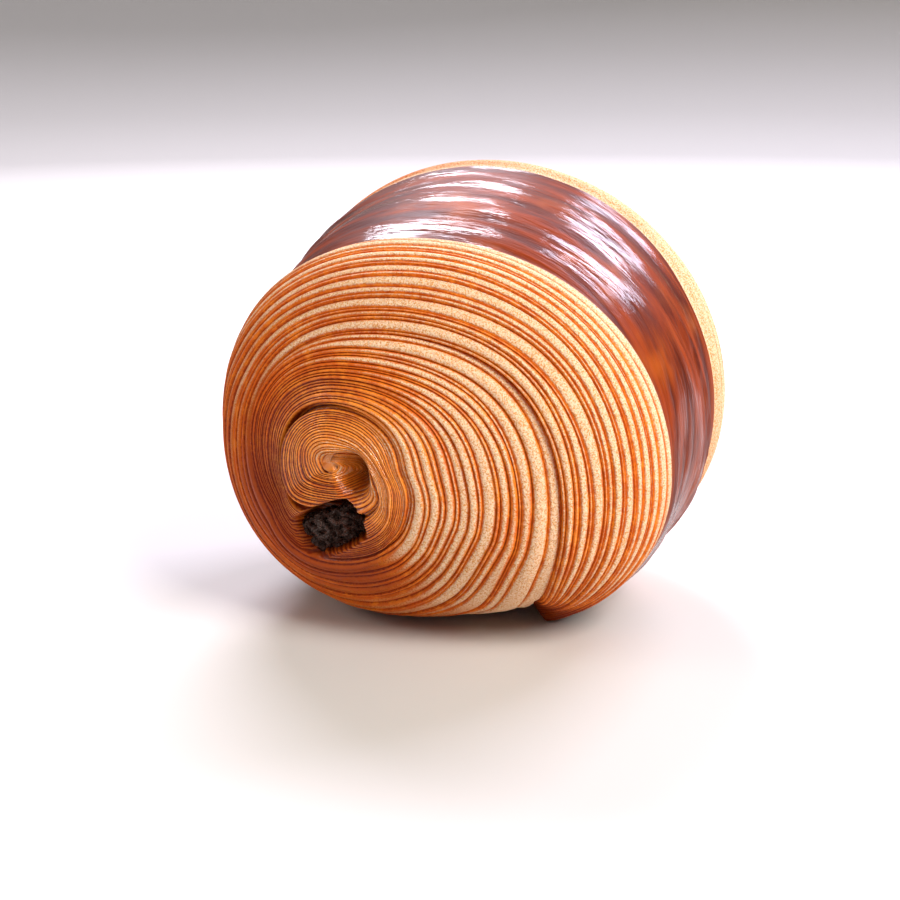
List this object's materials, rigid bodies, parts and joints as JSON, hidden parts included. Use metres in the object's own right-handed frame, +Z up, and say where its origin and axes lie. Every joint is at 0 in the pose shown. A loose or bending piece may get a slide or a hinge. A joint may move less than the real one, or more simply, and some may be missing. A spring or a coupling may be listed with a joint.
{
  "type": "pain au chocolat",
  "caption": "Rolled laminated pastry with a glazed band, spiral laminated ends and a chocolate baton through the roll, resting on a flat base.",
  "frame": {"origin": "middle of the bounding box in plan, on the flat face that the pastry rests on", "axes": "+Z up from the base; Y along the roll's axis, with the near spiral end towards -Y and the far spiral end towards +Y; +X to the right seen from the near end"},
  "size_m": [0.0707, 0.066, 0.0598],
  "materials": {
    "baked_dough": "baked laminated dough, egg-washed and glossy on the outside of the sheet, crumbly and pale between the layers",
    "dark_chocolate": "dark chocolate, baked, rough and crumbly at the ends with small glossy facets"
  },
  "bodies": {
    "root": {"dough": "baked_dough", "chocolate_baton": "dark_chocolate"}
  },
  "joints": []
}
